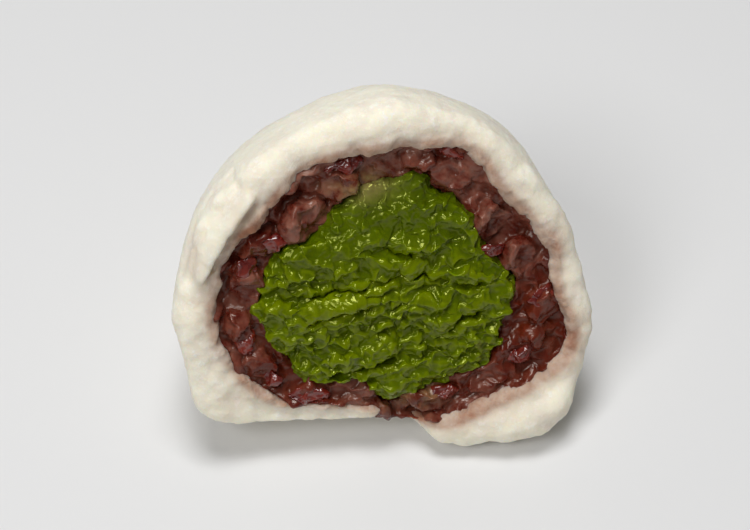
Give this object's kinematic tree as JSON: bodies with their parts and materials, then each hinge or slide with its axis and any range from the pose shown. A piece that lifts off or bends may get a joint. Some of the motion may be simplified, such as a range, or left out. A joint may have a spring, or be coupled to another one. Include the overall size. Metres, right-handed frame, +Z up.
{
  "type": "mochi rice cake",
  "caption": "Half of a filled mochi rice cake, cut through the middle to show its dough skin, bean paste and green filling, tipped back with the cut face up.",
  "frame": {"origin": "bottom centre of the half, on the surface it rests on", "axes": "+Z up, +X across the cut face to the right as it is looked at, -Y towards the viewer: the cut face looks to -Y and leans back 25 degrees"},
  "size_m": [0.0506, 0.0368, 0.0444],
  "materials": {
    "rice_dough": "soft white rice dough dusted with starch, faintly translucent",
    "bean_paste": "moist coarse red bean paste with bean skins",
    "green_filling": "shiny green tea filling with small torn folds"
  },
  "bodies": {
    "root": {"rice_dough": "rice_dough", "bean_paste": "bean_paste", "green_filling": "green_filling"}
  },
  "joints": []
}
